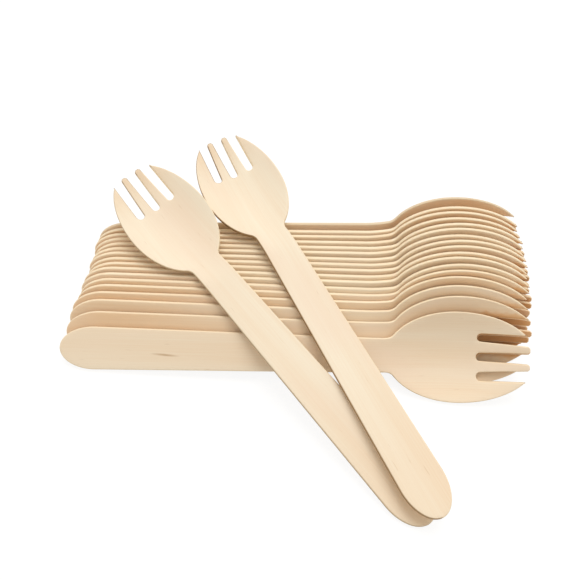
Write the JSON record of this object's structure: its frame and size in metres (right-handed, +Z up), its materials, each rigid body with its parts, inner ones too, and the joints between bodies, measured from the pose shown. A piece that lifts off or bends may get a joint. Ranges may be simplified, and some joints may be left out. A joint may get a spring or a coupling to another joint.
{
  "type": "wooden spork pack",
  "caption": "Pack of pressed birch sporks: a nested row lying back on its long edges, with two more laid across it, heads up.",
  "frame": {"origin": "centre of the pack's bounding box, on the floor that it stands on", "axes": "+X along the row's sporks from handles to heads, -Y towards the viewer and the laid handles, +Z up"},
  "size_m": [0.1628, 0.1396, 0.0303],
  "materials": {
    "birch": "uncoated pale birch veneer, sanded, faint grain along the handle"
  },
  "bodies": {
    "root": {"row_spork_01": "birch", "row_spork_02": "birch", "row_spork_03": "birch", "row_spork_04": "birch", "row_spork_05": "birch", "row_spork_06": "birch", "row_spork_07": "birch", "row_spork_08": "birch", "row_spork_09": "birch", "row_spork_10": "birch", "row_spork_11": "birch", "row_spork_12": "birch", "row_spork_13": "birch", "row_spork_14": "birch", "row_spork_15": "birch", "row_spork_16": "birch", "row_spork_17": "birch", "laid_spork_left": "birch", "laid_spork_right": "birch"}
  },
  "joints": []
}
